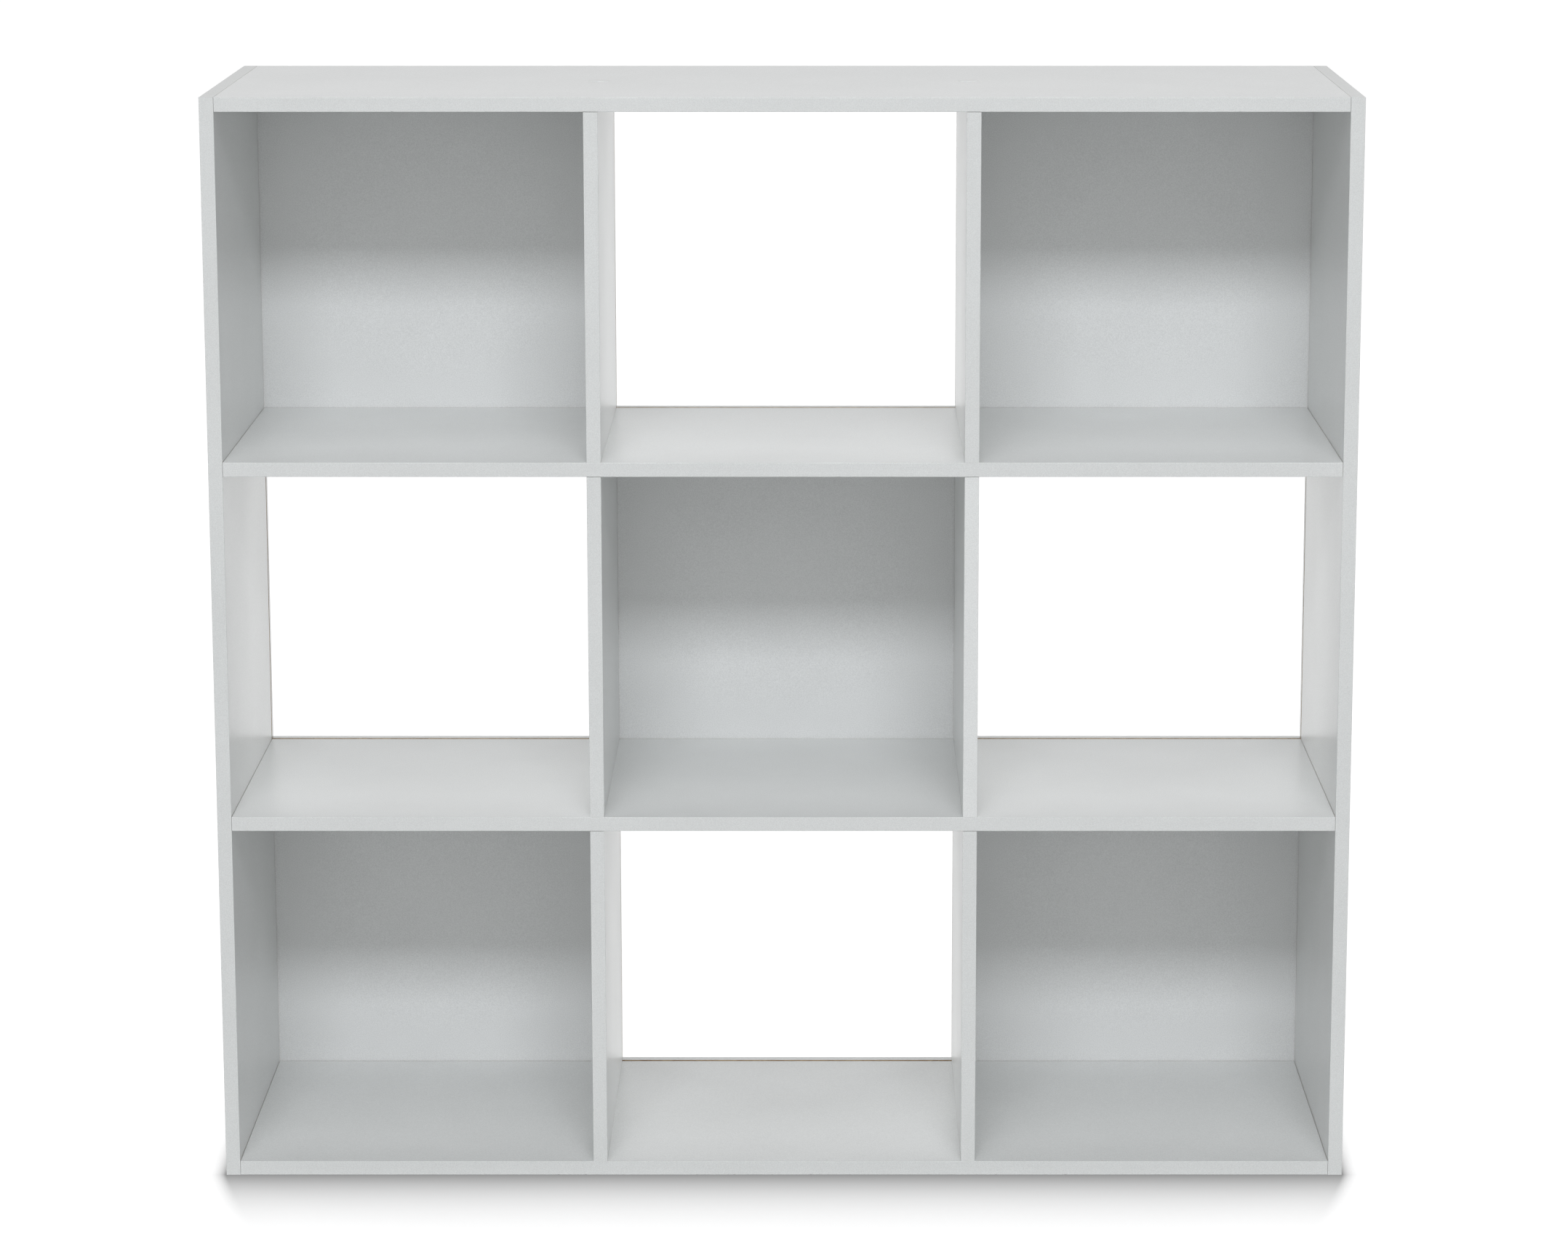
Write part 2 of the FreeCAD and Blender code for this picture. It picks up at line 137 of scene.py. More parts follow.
def build_handling():
    """Broad, faint smears where hands and cloths have rubbed a surface smoother."""
    group, given, result, place = start_group("handling", {"Smears per metre": 6.0}, ["Rub"])
    smears = add_node(group, "TexNoise", {
        "Vector": place, "Scale": given["Smears per metre"], "Detail": 2.0})
    group.links.new(spread(group, smears.outputs["Fac"], 0.3, 0.7), result["Rub"])
    return group


def build_pressed_wood():
    """Pressed wood flakes, which lie flat in the board, with pits between them. The two
    squeezes say how much thinner the flakes are along x and along z."""
    group, given, result, place = start_group(
        "pressed wood", {"Flakes per metre": 300.0, "Squeeze along x": 1.0,
                         "Squeeze along z": 1.0}, ["Tone", "Height"])
    squeeze = add_node(group, "CombineXYZ", {
        "X": given["Squeeze along x"], "Y": 1.0, "Z": given["Squeeze along z"]})
    flat = add_node(group, "VectorMath", {0: place, 1: squeeze.outputs["Vector"]},
                    operation="MULTIPLY")
    wander = add_node(group, "TexNoise", {"Vector": place, "Scale": 500.0, "Detail": 2.0})
    centred = add_node(group, "VectorMath", {0: wander.outputs["Color"], 1: (0.5, 0.5, 0.5)},
                       operation="SUBTRACT")
    bent = add_node(group, "VectorMath", {0: centred.outputs["Vector"], 1: (0.003, 0.003, 0.003),
                                          2: flat.outputs["Vector"]}, operation="MULTIPLY_ADD")
    flakes = add_node(group, "TexVoronoi", {
        "Vector": bent.outputs["Vector"], "Scale": given["Flakes per metre"]})
    tone = add_node(group, "SeparateColor", {"Color": flakes.outputs["Color"]})
    fibres = add_node(group, "TexNoise", {"Vector": place, "Scale": 2200.0, "Detail": 3.0})
    mixed = add_node(group, "Mix", {
        "Factor": 0.4, "A": tone.outputs["Red"], "B": fibres.outputs["Fac"]})
    group.links.new(mixed.outputs["Result"], result["Tone"])
    group.links.new(compute(group, "SUBTRACT", 1.0, flakes.outputs["Distance"]), result["Height"])
    return group


def build_edge_wear():
    """Small chips and rubs along an edge. Wear is 1 where the finish has gone."""
    group, given, result, place = start_group(
        "edge wear", {"Chips per metre": 160.0, "Share worn": 0.3}, ["Wear"])
    patches = add_node(group, "TexNoise", {"Vector": place, "Scale": 9.0, "Detail": 2.0})
    chips = add_node(group, "TexNoise", {
        "Vector": place, "Scale": given["Chips per metre"], "Detail": 4.0, "Roughness": 0.7})
    both = compute(group, "MULTIPLY", patches.outputs["Fac"], chips.outputs["Fac"])
    limit = compute(group, "SUBTRACT", 0.52, compute(group, "MULTIPLY", given["Share worn"], 0.5))
    over = compute(group, "SUBTRACT", both, limit)
    group.links.new(spread(group, over, 0.0, 0.02), result["Wear"])
    return group


foil_grain = build_foil_grain()
handling = build_handling()
pressed_wood = build_pressed_wood()
edge_wear = build_edge_wear()


def start_material(name, plain_values=()):
    """A material and its shader, with the shader's plain values set."""
    material = bpy.data.materials.new(name)
    material.use_nodes = True
    shader = material.node_tree.nodes["Principled BSDF"]
    for label, value in dict(plain_values).items():
        shader.inputs[label].default_value = value
    return material, material.node_tree, shader


def put_group(tree, group, **values):
    """The group, placed in a material. Underscores in a value's name stand for spaces."""
    placed = tree.nodes.new("ShaderNodeGroup")
    placed.node_tree = group
    for name, value in values.items():
        placed.inputs[name.replace("_", " ")].default_value = value
    return placed.outputs


def blend_colours(tree, factor, first, second):
    mix = add_node(tree, "Mix", data_type="RGBA")
    colour_inputs = [socket for socket in mix.inputs if socket.type == "RGBA"]
    for socket, colour in zip(colour_inputs, (first, second)):
        if isinstance(colour, bpy.types.NodeSocket):
            tree.links.new(colour, socket)
        else:
            socket.default_value = (*colour, 1.0)
    tree.links.new(factor, mix.inputs["Factor"])
    return next(socket for socket in mix.outputs if socket.type == "RGBA")


def raise_surface(tree, shader, height, depth):
    bump = add_node(tree, "Bump", {"Strength": 1.0, "Distance": depth, "Height": height})
    tree.links.new(bump.outputs["Normal"], shader.inputs["Normal"])


def tinted(colour, share):
    return tuple(channel * share for channel in colour)


FOIL_GRAIN_DEPTH = 0.016 * MM
FOIL_PEBBLES = 1300.0  # in a metre


def foil_look(tree, shader, colour, contrast, smooth, matt, depth=FOIL_GRAIN_DEPTH,
              pebbles=FOIL_PEBBLES):
    """Satin foil: pebbled, faintly cloudy and rubbed smoother in places. Returns its colour."""
    grain = put_group(tree, foil_grain, Pebbles_per_metre=pebbles)
    rub = put_group(tree, handling)["Rub"]
    base = blend_colours(tree, grain["Shade"], tinted(colour, 1 - contrast),
                         tinted(colour, 1 + contrast))
    tree.links.new(base, shader.inputs["Base Color"])
    tree.links.new(spread(tree, rub, 0.0, 1.0, matt, smooth), shader.inputs["Roughness"])
    raise_surface(tree, shader, grain["Height"], depth)
    return base


def make_foil(name, colour, contrast, **look):
    material, tree, shader = start_material(name)
    foil_look(tree, shader, colour, contrast, **look)
    return material


def make_worn_foil(name, colour, under, share):
    """Foil at a cut edge, with what is under it showing where it has chipped."""
    material, tree, shader = start_material(name)
    whole = foil_look(tree, shader, colour, 0.10, smooth=0.25, matt=0.30)
    wear = put_group(tree, edge_wear, Share_worn=share)["Wear"]
    tree.links.new(blend_colours(tree, wear, whole, under), shader.inputs["Base Color"])
    return material


def make_raw_wood(name, dark, light, flakes, squeeze_x, squeeze_z, depth):
    """Sawn wood-based board, matt and open."""
    material, tree, shader = start_material(name, {"Roughness": 0.88})
    wood = put_group(tree, pressed_wood, Flakes_per_metre=flakes, Squeeze_along_x=squeeze_x,
                     Squeeze_along_z=squeeze_z)
    tree.links.new(blend_colours(tree, wood["Tone"], dark, light), shader.inputs["Base Color"])
    raise_surface(tree, shader, wood["Height"], depth)
    return material


def make_beech():
    """Turned beech: fine darker pores drawn out along x and z, the ways the dowels lie."""
    material, tree, shader = start_material("beech", {"Roughness": 0.62})
    place = add_node(tree, "TexCoord").outputs["Object"]
    drawn = add_node(tree, "Mapping", {"Vector": place, "Scale": (350.0, 2400.0, 350.0)})
    pores = add_node(tree, "TexNoise", {
        "Vector": drawn.outputs["Vector"], "Scale": 1.0, "Detail": 4.0})
    tone = spread(tree, pores.outputs["Fac"], 0.3, 0.7)
    tree.links.new(blend_colours(tree, tone, BEECH_DARK, BEECH_LIGHT),
                   shader.inputs["Base Color"])
    raise_surface(tree, shader, pores.outputs["Fac"], 0.05 * MM)
    return material


def make_zinc_plate():
    """Zinc-plated steel, dulled in patches."""
    material, tree, shader = start_material("zinc plate", {"Metallic": 1.0})
    rub = put_group(tree, handling, Smears_per_metre=260.0)["Rub"]
    tree.links.new(blend_colours(tree, rub, tinted(ZINC, 0.75), ZINC),
                   shader.inputs["Base Color"])
    tree.links.new(spread(tree, rub, 0.0, 1.0, 0.46, 0.28), shader.inputs["Roughness"])
    return material


FLAKES = 380.0  # in a metre of chipboard
FLAKE_SQUEEZE = (0.55, 2.0)  # along and through a board
CHIP_PITS = 0.18 * MM

board_foil = make_foil("white board foil", WHITE_FOIL, 0.10, smooth=0.285, matt=0.305)
band_plastic = make_foil("white edge banding", WHITE_BAND, 0.08, smooth=0.30, matt=0.34)
band_painted_lighter = make_foil("edge banding painted lighter", BAND_PAINTED_LIGHTER, 0.08, smooth=0.30, matt=0.34)
back_foil = make_foil("white back foil", BACK_FOIL, 0.10, smooth=0.38, matt=0.42)
cap_plastic = make_foil("white cap plastic", CAP_PLASTIC, 0.02, smooth=0.32, matt=0.36,
                        depth=0.003 * MM, pebbles=900.0)
worn_board_foil = make_worn_foil("board foil at its edge", WHITE_FOIL, CHIP_LIGHT, 0.30)
level_chipboard = make_raw_wood("chipboard lying", CHIP_DARK, CHIP_LIGHT, FLAKES,
                                FLAKE_SQUEEZE[0], FLAKE_SQUEEZE[1], CHIP_PITS)
upright_chipboard = make_raw_wood("chipboard standing", CHIP_DARK, CHIP_LIGHT, FLAKES,
                                  FLAKE_SQUEEZE[1], FLAKE_SQUEEZE[0], CHIP_PITS)
fibreboard = make_raw_wood("raw fibreboard", FIBRE_DARK, FIBRE_LIGHT, 600.0, 1.0, 1.0,
                           0.04 * MM)
beech = make_beech()
zinc_plate = make_zinc_plate()

# --- shapes -----------------------------------------------------------------------------------

random.seed(7)


def new_piece(name, shape, materials, node_name, round_below=0.0):
    """Makes a piece of a shape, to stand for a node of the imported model. Corners flatter than
    round_below, in degrees, are shaded round."""
    mesh = bpy.data.meshes.new(name)
    bmesh.ops.recalc_face_normals(shape, faces=shape.faces)
    for face in shape.faces:
        face.smooth = round_below > 0
    shape.to_mesh(mesh)
    shape.free()
    mesh.set_sharp_from_angle(angle=math.radians(round_below))
    for material in materials:
        mesh.materials.append(material)
    piece = bpy.data.objects.new(name, mesh)
    bpy.context.scene.collection.objects.link(piece)
    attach(piece, "root")
    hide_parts(node_name)
    return piece


def welded_copy(node_name):
    """The node's own shape, with its flat faces whole."""
    shape = bmesh.new()
    shape.from_mesh(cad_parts[node_name].data)
    bmesh.ops.remove_doubles(shape, verts=shape.verts, dist=0.002 * MM)
    bmesh.ops.dissolve_limit(shape, angle_limit=math.radians(1.0), verts=shape.verts,
                             edges=shape.edges)
    return shape


def sort_axes(low, high):
    """The axes of a box, from its thinnest to its longest side."""
    size = high - low
    return sorted(range(3), key=lambda axis: size[axis])


def separate_solids(node_name):
    """The lowest and highest corners of each separate solid in a node."""
    shape = welded_copy(node_name)
    waiting = set(shape.verts)
    boxes = []
    while waiting:
        found = [waiting.pop()]
        for vertex in found:
            for edge in vertex.link_edges:
                other = edge.other_vert(vertex)
                if other in waiting:
                    waiting.remove(other)
                    found.append(other)
        low = Vector([min(vertex.co[axis] for vertex in found) for axis in range(3)])
        high = Vector([max(vertex.co[axis] for vertex in found) for axis in range(3)])
        boxes.append((low, high))
    shape.free()
    return sorted(boxes, key=lambda box: tuple(box[0]))


def join_rings(shape, rings):
    """Faces between rings of as many vertices each, and over the first and the last ring."""
    for ring, following in zip(rings, rings[1:]):
        for here, there in zip(range(-1, len(ring) - 1), range(len(ring))):
            shape.faces.new((ring[here], ring[there], following[there], following[here]))
    shape.faces.new(rings[0])
    shape.faces.new(reversed(rings[-1]))


def turned_ring(shape, centre, axis, along, radius_at, points):
    """A ring of vertices about an axis. radius_at(step) gives the radius of each point."""
    across, other = [direction for direction in range(3) if direction != axis]
    ring = []
    for step in range(points):
        angle = math.tau * step / points
        place = Vector(centre)
        place[axis] = along
        place[across] += radius_at(step) * math.cos(angle)
        place[other] += radius_at(step) * math.sin(angle)
        ring.append(shape.verts.new(place))
    return ring


# --- boards -----------------------------------------------------------------------------------

BOARD_ARRIS = 0.25 * MM  # how far a board's cut edges are eased
DRAWN_UP = 0.2 * MM  # how much of a gap at its ends the fixings have closed
LONG_EDGE = 4 * MM  # shorter edges belong to the rims of holes
SQUARE_CORNER = math.radians(60)  # blunter corners aren't eased
FOILED, WORN, BARE = range(3)  # the materials of a board, in order


def draw_up(vertices, node_name, low, high):
    """Closes a little of the gap at each end of a level board or its band, and above a divider,
    which stands on the board below."""
    if "side" in node_name:
        return
    upright = "divider" in node_name
    ends = Z if upright else X
    for vertex in vertices:
        if vertex.co[ends] > high[ends] - NEAR:
            vertex.co[ends] += DRAWN_UP
        elif vertex.co[ends] < low[ends] + NEAR and not upright:
            vertex.co[ends] -= DRAWN_UP


def faced_board(node_name):
    """A faced chipboard panel. Foil covers its two faces, worn along the eased edges. Bare
    chipboard shows in grooves and holes and on its sawn edges."""
    low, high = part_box(node_name)
    through = sort_axes(low, high)[0]
    shape = welded_copy(node_name)
    draw_up(shape.verts, node_name, low, high)
    sawn = [
        edge for edge in shape.edges
        if len(edge.link_faces) == 2 and edge.calc_length() > LONG_EDGE and edge.is_convex
        and edge.calc_face_angle() > SQUARE_CORNER
    ]
    bmesh.ops.bevel(shape, geom=sawn, offset=BOARD_ARRIS, segments=2, profile=0.5,
                    affect="EDGES", clamp_overlap=True)
    for face in shape.faces:
        depth = face.calc_center_median()[through]
        at_face = min(depth - low[through], high[through] - depth) < BOARD_ARRIS
        squareness = abs(face.normal[through])
        if not at_face or squareness < 0.5:
            face.material_index = BARE
        else:
            face.material_index = WORN if squareness < 0.99 else FOILED
    chipboard = level_chipboard if through == Z else upright_chipboard
    new_piece(f"{node_name}_faced", shape, [board_foil, worn_board_foil, chipboard], node_name)


BACK_BOW = 0.8 * MM  # how far the middle of a thin back stands off towards the rear
BACK_SEAT = 0.25 * MM  # how far its edges are pressed towards the rear of their grooves
BACK_CUTS = 15


def thin_back(node_name):
    """A thin fibreboard back, foiled on its front only and bowed a little."""
    low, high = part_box(node_name)
    centre = (low + high) / 2
    half = (high - low) / 2
    shape = welded_copy(node_name)
    wide = [edge for edge in shape.edges if edge.calc_length() > LONG_EDGE]
    bmesh.ops.subdivide_edges(shape, edges=wide, cuts=BACK_CUTS, use_grid_fill=True)
    shape.normal_update()
    for face in shape.faces:
        face.material_index = 0 if face.normal.y < -0.9 else 1
    for vertex in shape.verts:
        across = (vertex.co.x - centre.x) / half.x
        up = (vertex.co.z - centre.z) / half.z
        vertex.co.y += BACK_SEAT + BACK_BOW * (1 - across ** 2) * (1 - up ** 2)
    new_piece(f"{node_name}_foiled", shape, [back_foil, fibreboard], node_name, 5)


# --- edge bands -------------------------------------------------------------------------------

BAND_ARRIS = 0.4 * MM
BAND_STEP = 12 * MM  # spacing of the sections along a band
TRIM_WAVE = 0.03 * MM  # how unevenly the trimmer eased the edge
NICK_SPACING = 130 * MM
NICK_DEPTH = (0.12 * MM, 0.32 * MM)
NICK_REACH = (0.5 * MM, 1.6 * MM)
NICK_SHARE = (0.6, 1.4)  # of the usual number
NICK_PLACES = (0.01, 0.99)  # as shares of the length
WAVE_LENGTH = (0.15, 0.4)
CORNER_POINTS = 4  # round each eased corner


def scatter_nicks(length):
    """Small nicks along one edge: where each is, how deep and how far it reaches."""
    count = round(length / NICK_SPACING * random.uniform(*NICK_SHARE))
    return [(random.uniform(*NICK_PLACES) * length, random.uniform(*NICK_DEPTH),
             random.uniform(*NICK_REACH)) for _ in range(count)]


def edge_wander(nicks, wave_length, phase, along):
    """How far the eased edge lies inside its line at a place along it."""
    dip = TRIM_WAVE * (0.5 + 0.5 * math.sin(math.tau * along / wave_length + phase))
    for place, depth, reach in nicks:
        dip = max(dip, depth * (1 - abs(along - place) / reach))
    return dip


def band_section(width, thickness, dips):
    """Points across a band, (across, out), with its two outer edges eased and set back."""
    eased = []
    for dip in dips:
        corner = []
        for turn in range(CORNER_POINTS):
            angle = math.pi / 2 * turn / (CORNER_POINTS - 1)
            inset = BAND_ARRIS * (1 - math.cos(angle)) + dip
            drop = BAND_ARRIS * (1 - math.sin(angle)) + dip
            on_face = turn == CORNER_POINTS - 1
            corner.append((inset, thickness if on_face else thickness - drop))
        eased.append(corner)
    left, right = eased
    return [(0.0, 0.0), *left, *((width - across, out) for across, out in reversed(right)),
            (width, 0.0)]


def edge_band(node_name):
    """A strip of edge banding with trimmed, slightly nicked edges. A band on a front faces
    forwards, and one on top of a side faces up."""
    low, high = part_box(node_name)
    out, across, along = sort_axes(low, high)
    length = high[along] - low[along]
    edges = [(scatter_nicks(length), random.uniform(*WAVE_LENGTH), random.uniform(0.0, math.tau))
             for _ in range(2)]
    steps = round(length / BAND_STEP)
    places = {length * step / steps for step in range(steps + 1)}
    for nicks, _, _ in edges:
        for place, _, reach in nicks:
            places.update((place - reach, place, place + reach))
    shape = bmesh.new()
    rings = []
    for place in sorted(p for p in places if 0 <= p <= length):
        dips = [edge_wander(*edge, place) for edge in edges]
        ring = []
        for sideways, outward in band_section(high[across] - low[across],
                                              high[out] - low[out], dips):
            point = Vector()
            point[along] = low[along] + place
            point[across] = low[across] + sideways
            point[out] = high[out] - outward if out == Y else low[out] + outward
            ring.append(shape.verts.new(point))
        rings.append(ring)
    join_rings(shape, rings)
    draw_up(shape.verts, node_name, low, high)
    # The middle divider on the right gets banding painted lighter, for the extra light that band
    # catches.
    banding = band_painted_lighter if "middle_divider_right" in node_name else band_plastic
    new_piece(f"{node_name}_trimmed", shape, [banding], node_name)


# --- fixings ----------------------------------------------------------------------------------

DOWEL_CHAMFER = 0.6 * MM
FLUTE_DEPTH = 0.14 * MM
FLUTES = 20


def fluted_dowels(node_name):
    """Beech dowels with chamfered ends and fluted sides."""
    shape = bmesh.new()
    for low, high in separate_solids(node_name):
        axis = sort_axes(low, high)[2]
        centre = (low + high) / 2
        radius = (high - low)[(axis + 1) % 3] / 2

        def fluted(step):
            return radius - FLUTE_DEPTH * (step % 3 == 0)

        def plain(step):
            return radius - DOWEL_CHAMFER

        stops = ((low[axis], plain), (low[axis] + DOWEL_CHAMFER, fluted),
                 (high[axis] - DOWEL_CHAMFER, fluted), (high[axis], plain))
        join_rings(shape, [turned_ring(shape, centre, axis, along, radius_at, 3 * FLUTES)
                           for along, radius_at in stops])
    new_piece(f"{node_name}_fluted", shape, [beech], node_name, 20)


CAP_POINTS = 72
CAP_ROUNDING = 0.3 * MM
CAP_DOME = 0.12 * MM  # how much lower a cap is at its rim than in its middle
CAP_RIM_POINTS = 5
CAP_TOP_RINGS = (0.75, 0.5, 0.25, 0.03)  # as shares of its radius


def cover_caps(node_name):
    """Thin round caps that cover the screw heads, faintly domed and soft at the rim."""
    shape = bmesh.new()
    for low, high in separate_solids(node_name):
        axis = sort_axes(low, high)[0]
        centre = (low + high) / 2
        radius = (high - low)[(axis + 1) % 3] / 2
        thickness = high[axis] - low[axis]
        outward = 1 if centre[axis] > middle[axis] else -1
        seat = low[axis] if outward > 0 else high[axis]
        profile = [(radius, 0.0)]
        for turn in range(CAP_RIM_POINTS):
            angle = math.pi / 2 * turn / (CAP_RIM_POINTS - 1)
            profile.append((radius - CAP_ROUNDING * (1 - math.cos(angle)),
                            thickness - CAP_DOME - CAP_ROUNDING * (1 - math.sin(angle))))
        for share in CAP_TOP_RINGS:
            profile.append((radius * share, thickness - CAP_DOME * share ** 2))
        rings = [turned_ring(shape, centre, axis, seat + outward * rise,
                             lambda step, size=size: size, CAP_POINTS)
                 for size, rise in profile]
        join_rings(shape, rings)
    new_piece(f"{node_name}_moulded", shape, [cap_plastic], node_name, 40)


HEAD_LENGTH = 2.6 * MM  # the countersunk head, measured along the screw
CORE_SHARE = 0.66  # the core's radius, as a share of the thread's
CORE_START = 0.7 * HEAD_LENGTH  # from the head's face
THREAD_START = 2 * HEAD_LENGTH
THREAD_END = 0.5 * MM  # from the tip
THREAD_PITCH = 1.8 * MM
THREAD_STEPS = 16  # sections in one turn
RIDGE_FOOT = 0.9  # how deep the ridge's foot lies, as a share of the core's radius
RIDGE_HALF_WIDTH = 0.3 * THREAD_PITCH
FIRST_TURN = 0.15  # how far the ridge has risen where it starts
TIP_LENGTH = 5 * MM


def wind_thread(shape, centre, axis, start, end, radius):
    """A sharp thread ridge from start to end, with its crest at radius, thinning to the tip."""
    across, other = [direction for direction in range(3) if direction != axis]
    turns = abs(end - start) / THREAD_PITCH
    way = 1 if end > start else -1
    core = radius * CORE_SHARE
    rings = []
    for step in range(round(turns * THREAD_STEPS) + 1):
        angle = math.tau * step / THREAD_STEPS
        along = start + way * THREAD_PITCH * step / THREAD_STEPS
        taper = min(1.0, abs(end - along) / TIP_LENGTH, FIRST_TURN + step / THREAD_STEPS)
        foot = RIDGE_FOOT * core * taper
        crest = max((core + (radius - core) * taper) * taper, core * taper)
        ring = []
        for reach, shift in ((foot, -RIDGE_HALF_WIDTH), (crest, 0.0), (foot, RIDGE_HALF_WIDTH)):
            place = Vector(centre)
            place[axis] = along + way * shift
            place[across] += reach * math.cos(angle)
            place[other] += reach * math.sin(angle)
            ring.append(shape.verts.new(place))
        rings.append(ring)
    join_rings(shape, rings)


def threaded_screws(node_name):
    """Countersunk screws with their cross recess, a slim core and a thread."""
    shape = welded_copy(node_name)
    for low, high in separate_solids(node_name):
        axis = sort_axes(low, high)[2]
        sideways = [direction for direction in range(3) if direction != axis]
        centre = (low + high) / 2
        inside = [
            vertex for vertex in shape.verts
            if all(low[a] - NEAR < vertex.co[a] < high[a] + NEAR for a in range(3))
        ]

        def off_axis(vertex):
            return math.hypot(*(vertex.co[a] - centre[a] for a in sideways))

        widest = max(inside, key=off_axis)
        head_is_low = widest.co[axis] - low[axis] < high[axis] - widest.co[axis]
        head = low[axis] if head_is_low else high[axis]
        tip = high[axis] if head_is_low else low[axis]
        way = 1 if head_is_low else -1
        radius = max(off_axis(vertex) for vertex in inside
                     if abs(vertex.co[axis] - head) > THREAD_START)
        for vertex in inside:
            if abs(vertex.co[axis] - head) > CORE_START and off_axis(vertex) > radius / 2:
                for a in sideways:
                    vertex.co[a] = centre[a] + CORE_SHARE * (vertex.co[a] - centre[a])
        wind_thread(shape, centre, axis, head + way * THREAD_START, tip - way * THREAD_END,
                    radius)
    new_piece(f"{node_name}_threaded", shape, [zinc_plate], node_name, 35)


# The first words that are in a node's name choose its shape. What is left are the boards.
MAKERS = (("_band_", edge_band), ("back_panel", thin_back), ("dowels", fluted_dowels),
          ("screws", threaded_screws), ("caps", cover_caps), ("", faced_board))
for node_name in sorted(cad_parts):
    make = next(maker for words, maker in MAKERS if words in node_name)
    make(node_name)

# --- floor, light and camera ------------------------------------------------------------------

FLOOR_HALF_WIDTH = 30.0
FLOOR_CLEARANCE = 0.05 * MM  # below the unit's foot
LIT_FLOOR_COLOUR = (0.90, 0.45)  # what light meets near the unit and far away
SEEN_FLOOR_COLOUR = 0.30  # what the lens sees of the light and shadow on the floor
FLOOR_GLOW = (0.95, 0.99)  # and of plain white on top, near the unit and far away
FLOOR_DISTANCES = (1.0, 3.5)  # where near ends and far begins
FOOT_SHADE = 0.74  # how dark the painted soft shade at the unit's foot is
FOOT_SHADE_REACH = 0.072  # how far ahead of the front it fades by two thirds
FOOT_SHADE_ENDS = (10.0, 8.0)  # how much shorter it is at the sides, and past the front's ends
FOOT_SHADE_TAPER = 0.3  # how much further in each end lies for each metre ahead


def seen_straight(tree):
    """1 for what the lens sees straight, in a gloss or through glass, and 0 for light."""
    ray = add_node(tree, "LightPath").outputs
    seen = compute(tree, "MAXIMUM", ray["Is Camera Ray"], ray["Is Glossy Ray"])
    return compute(tree, "MAXIMUM", seen, ray["Is Transmission Ray"])


def mix_values(tree, factor, first, second):
    mix = add_node(tree, "Mix", {"Factor": factor, "A": first, "B": second})
    return mix.outputs["Result"]


def foot_shade(tree, place):
    """How much of the floor the painted shade leaves: 1 far out and darker at the unit's foot,
    furthest ahead of it.
    """
    parts = add_node(tree, "SeparateXYZ", {"Vector": place}).outputs
    sideways = compute(tree, "SUBTRACT", parts["X"], middle.x)
    aside = compute(tree, "MAXIMUM", sideways, compute(tree, "MULTIPLY", sideways, -1.0))
    forward = compute(tree, "SUBTRACT", cad_low.y, parts["Y"])
    taper = compute(tree, "MULTIPLY", compute(tree, "MAXIMUM", forward, 0.0), FOOT_SHADE_TAPER)
    tapered = compute(tree, "ADD", aside, taper)
    past_end = compute(tree, "SUBTRACT", tapered, cad_high.x - middle.x)
    backward = compute(tree, "SUBTRACT", parts["Y"], cad_high.y)
    end_scale = spread(tree, forward, 0.0, FOOT_SHADE_REACH, *FOOT_SHADE_ENDS)
    out_aside = compute(tree, "MULTIPLY", compute(tree, "MAXIMUM", past_end, 0.0), end_scale)
    out_behind = compute(tree, "MULTIPLY", backward, FOOT_SHADE_ENDS[0])
    out = compute(tree, "MAXIMUM", compute(tree, "MAXIMUM", forward, out_behind), 0.0)
    away = add_node(tree, "CombineXYZ", {"X": out_aside, "Y": out}).outputs["Vector"]
    distance = add_node(tree, "VectorMath", {0: away}, operation="LENGTH").outputs["Value"]
    fading = compute(tree, "POWER", math.e, compute(tree, "DIVIDE", distance, -FOOT_SHADE_REACH))
    return compute(tree, "SUBTRACT", 1.0, compute(tree, "MULTIPLY", fading, FOOT_SHADE))


def make_floor():
    """A white studio floor that keeps the unit's shadow, with a soft shade painted at its foot."""
    shape = bmesh.new()
    bmesh.ops.create_grid(shape, x_segments=1, y_segments=1, size=FLOOR_HALF_WIDTH)
    mesh = bpy.data.meshes.new("floor")
    shape.to_mesh(mesh)
    shape.free()
    floor = bpy.data.objects.new("floor", mesh)
    bpy.context.scene.collection.objects.link(floor)
    floor.location.z = cad_low.z - FLOOR_CLEARANCE
    material, tree, shader = start_material("pale floor", {
        "Roughness": 0.9, "Specular IOR Level": 0.0, "Emission Color": (1.0, 1.0, 1.0, 1.0)})
    place = add_node(tree, "TexCoord").outputs["Object"]
    distance = add_node(tree, "VectorMath", {0: place}, operation="LENGTH").outputs["Value"]
    shade = foot_shade(tree, place)
    seen = seen_straight(tree)
    glow = spread(tree, distance, *FLOOR_DISTANCES, *FLOOR_GLOW)
    lit = spread(tree, distance, *FLOOR_DISTANCES, *LIT_FLOOR_COLOUR)
    seen_colour = compute(tree, "MULTIPLY", shade, SEEN_FLOOR_COLOUR)
    tree.links.new(mix_values(tree, seen, lit, seen_colour), shader.inputs["Base Color"])
    tree.links.new(compute(tree, "MULTIPLY", seen, compute(tree, "MULTIPLY", glow, shade)),
                   shader.inputs["Emission Strength"])
    mesh.materials.append(material)


FRONT_LIGHT = 0.88  # of the surroundings straight ahead of the unit
REAR_SIDE_LIGHT = 0.47  # and behind it, to the left and the right


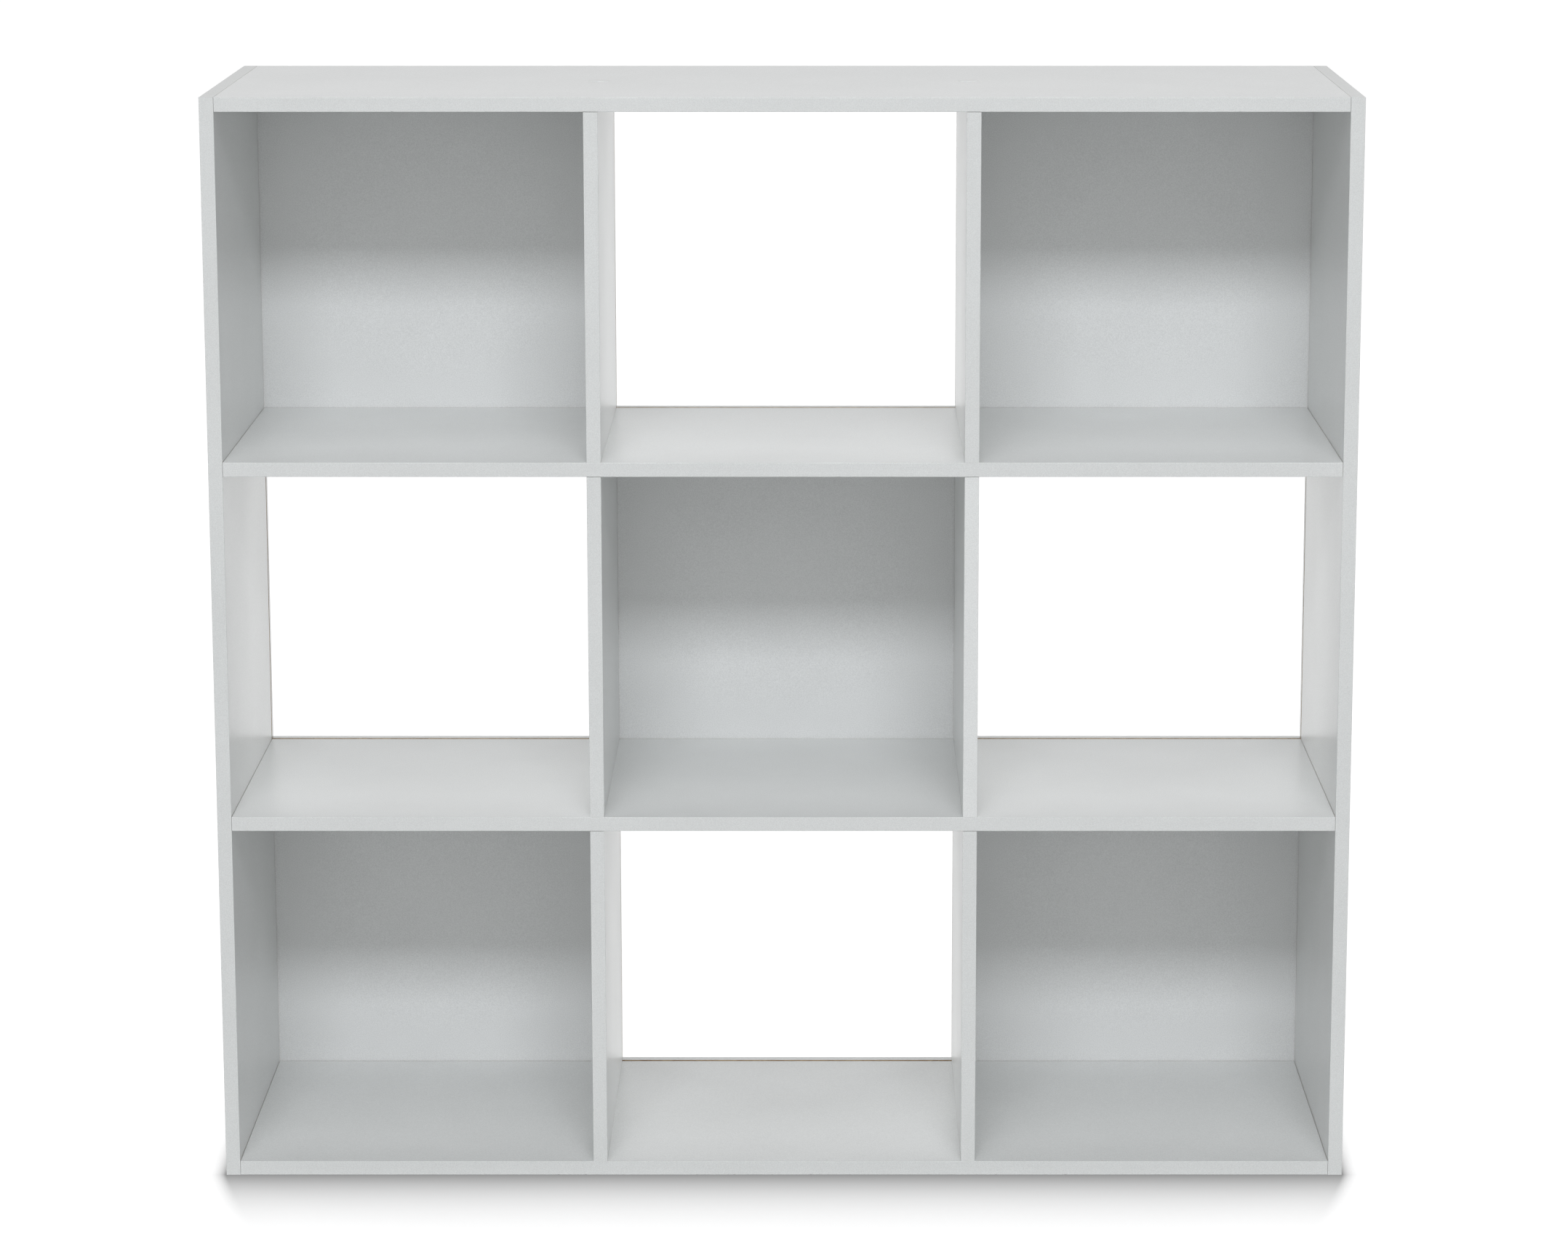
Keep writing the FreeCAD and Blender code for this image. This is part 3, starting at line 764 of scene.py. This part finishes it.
def make_world():
    """Soft light from a bright room ahead and from behind at both sides. Seen straight or in a
    gloss, the surroundings are plain white."""
    world = bpy.data.worlds.new("studio")
    bpy.context.scene.world = world
    world.use_nodes = True
    tree = world.node_tree
    tree.nodes.clear()
    way = add_node(tree, "TexCoord").outputs["Generated"]
    parts = add_node(tree, "SeparateXYZ", {"Vector": way}).outputs
    ahead = compute(tree, "MAXIMUM", compute(tree, "MULTIPLY", parts["Y"], -1.0), 0.0)
    behind = compute(tree, "MAXIMUM", parts["Y"], 0.0)
    aside = compute(tree, "MAXIMUM", parts["X"], compute(tree, "MULTIPLY", parts["X"], -1.0))
    front = compute(tree, "MULTIPLY", compute(tree, "POWER", ahead, 2.0), FRONT_LIGHT)
    corners = compute(tree, "MULTIPLY", compute(tree, "MULTIPLY", behind, aside),
                     2 * REAR_SIDE_LIGHT)
    light = add_node(tree, "Background", {"Color": (1.0, 1.0, 1.0, 1.0),
                                          "Strength": compute(tree, "ADD", front, corners)})
    white = add_node(tree, "Background", {"Color": (1.0, 1.0, 1.0, 1.0), "Strength": 1.0})
    mix = add_node(tree, "MixShader", {0: seen_straight(tree), 1: light.outputs["Background"],
                                       2: white.outputs["Background"]})
    leave = add_node(tree, "OutputWorld")
    tree.links.new(mix.outputs["Shader"], leave.inputs["Surface"])


def soft_lamp(name, place, aim, size, level, colour=(1.0, 1.0, 1.0)):
    """A rectangular soft lamp. Level is how brightly it lights a white surface that stands
    square to it at its aim, as a share of full white."""
    lamp = bpy.data.lights.new(name, "AREA")
    lamp.shape = "RECTANGLE"
    lamp.size, lamp.size_y = size
    lamp.color = colour
    towards = Vector(aim) - Vector(place)
    lamp.energy = level * math.pi ** 2 * towards.length_squared
    holder = bpy.data.objects.new(name, lamp)
    bpy.context.scene.collection.objects.link(holder)
    holder.location = place
    holder.rotation_euler = towards.to_track_quat("-Z", "Y").to_euler()
    holder.visible_camera = False


KEY_PLACE = (0.0, -5.1, 3.9)
KEY_SIZE = (3.2, 0.8)
KEY_LEVEL = 0.40
KEY_COLOUR = (0.95, 0.97, 1.0)
OVERHEAD_PLACE = (0.0, -1.7, 3.4)
OVERHEAD_AIM = (0.0, -0.7, 0.0)
OVERHEAD_SIZE = (2.2, 1.6)
OVERHEAD_LEVEL = 0.18
REAR_PLACE = (3.6, 2.6, 1.2)
REAR_SIZE = (1.5, 1.8)
REAR_LEVEL = 0.17


def make_lamps():
    soft_lamp("key lamp", KEY_PLACE, middle, KEY_SIZE, KEY_LEVEL, KEY_COLOUR)
    soft_lamp("overhead lamp", OVERHEAD_PLACE, OVERHEAD_AIM, OVERHEAD_SIZE, OVERHEAD_LEVEL)
    for hand, side in (("left", -1), ("right", 1)):
        place = (side * REAR_PLACE[X], REAR_PLACE[Y], REAR_PLACE[Z])
        soft_lamp(f"rear lamp {hand}", place, middle, REAR_SIZE, REAR_LEVEL)


CAMERA_ASIDE = 0.036  # to the right of the unit's middle
CAMERA_AHEAD = 3.702  # of the unit's front
CAMERA_UP = 1.260
CAMERA_DIP = 0.1917  # how far below level it looks, in radians
CAMERA_SHIFT = (-0.0271, -0.05)
LENS = 104.65
SENSOR = 36.0


def make_camera():
    data = bpy.data.cameras.new("camera")
    data.sensor_width = SENSOR
    data.lens = LENS
    data.shift_x, data.shift_y = CAMERA_SHIFT
    camera = bpy.data.objects.new("camera", data)
    bpy.context.scene.collection.objects.link(camera)
    camera.location = (CAMERA_ASIDE, cad_low.y - CAMERA_AHEAD, CAMERA_UP)
    camera.rotation_euler = (math.pi / 2 - CAMERA_DIP, 0.0, 0.0)
    bpy.context.scene.camera = camera


make_floor()
make_world()
make_lamps()
make_camera()
bpy.context.scene.view_settings.view_transform = "Standard"
